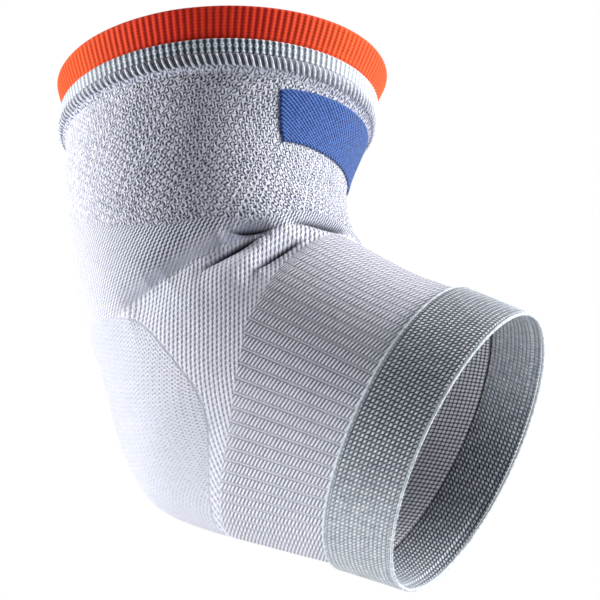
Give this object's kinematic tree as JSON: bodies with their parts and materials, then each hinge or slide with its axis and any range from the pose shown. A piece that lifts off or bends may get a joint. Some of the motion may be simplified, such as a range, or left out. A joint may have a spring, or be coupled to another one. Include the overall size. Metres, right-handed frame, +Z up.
{
  "type": "elbow brace",
  "caption": "Knitted elbow support, bent as worn, with a coloured band, ribbed welt and overlock seam at the upper arm and a woven elastic cuff at the forearm.",
  "frame": {"origin": "where the axis of the upper arm crosses the axis of the forearm, inside the elbow", "axes": "+Z up along the upper arm; the forearm runs to +X and 28.5 degrees down; -X is the outside of the elbow; Y lies across the arm"},
  "size_m": [0.1513, 0.1029, 0.1682],
  "materials": {
    "knit": "white and lavender compression knit with dark gaps between its stitches",
    "band_knit": "orange ribbed knit",
    "welt_knit": "blue-grey ribbed knit",
    "seam_thread": "pale overlock thread",
    "woven_elastic": "grey woven elastic with dark pin holes",
    "edge_thread": "pale edge cord",
    "label_weave": "blue woven patch with slanting streaks"
  },
  "bodies": {
    "root": {"sleeve": "knit", "upper_band": "band_knit", "upper_welt": "welt_knit", "overlock_seam": "seam_thread", "forearm_cuff": "woven_elastic", "cuff_edge_cord": "edge_thread", "cuff_rim_cord": "edge_thread", "label": "label_weave"}
  },
  "joints": []
}
